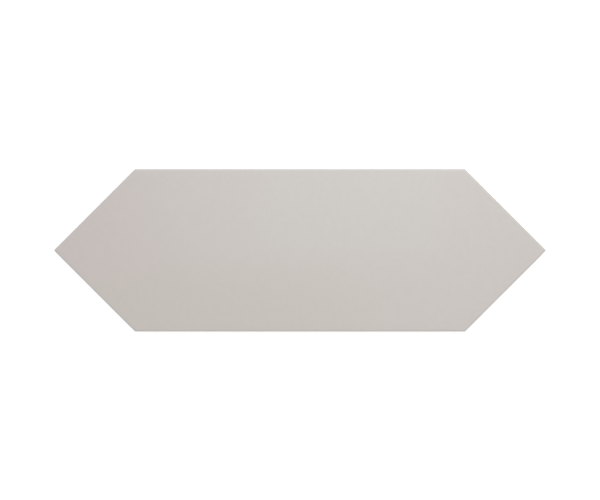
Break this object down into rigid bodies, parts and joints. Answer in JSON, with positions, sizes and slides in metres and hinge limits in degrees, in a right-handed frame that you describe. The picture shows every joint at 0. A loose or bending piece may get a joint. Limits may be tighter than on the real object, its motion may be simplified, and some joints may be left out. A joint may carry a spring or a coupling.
{
  "type": "kite tile",
  "caption": "Long hexagonal wall tile with two parallel edges and a 45-degree point at each end, glazed face, rounded arris and a ribbed back.",
  "frame": {"origin": "middle of the back, in the plane that the tile rests on", "axes": "+X from point to point, +Y across the two long edges, +Z out of the glazed face"},
  "size_m": [0.2994, 0.099, 0.0085],
  "materials": {
    "glaze": "satin glaze, pale warm grey"
  },
  "bodies": {
    "root": {"kite_tile": "glaze"}
  },
  "joints": []
}
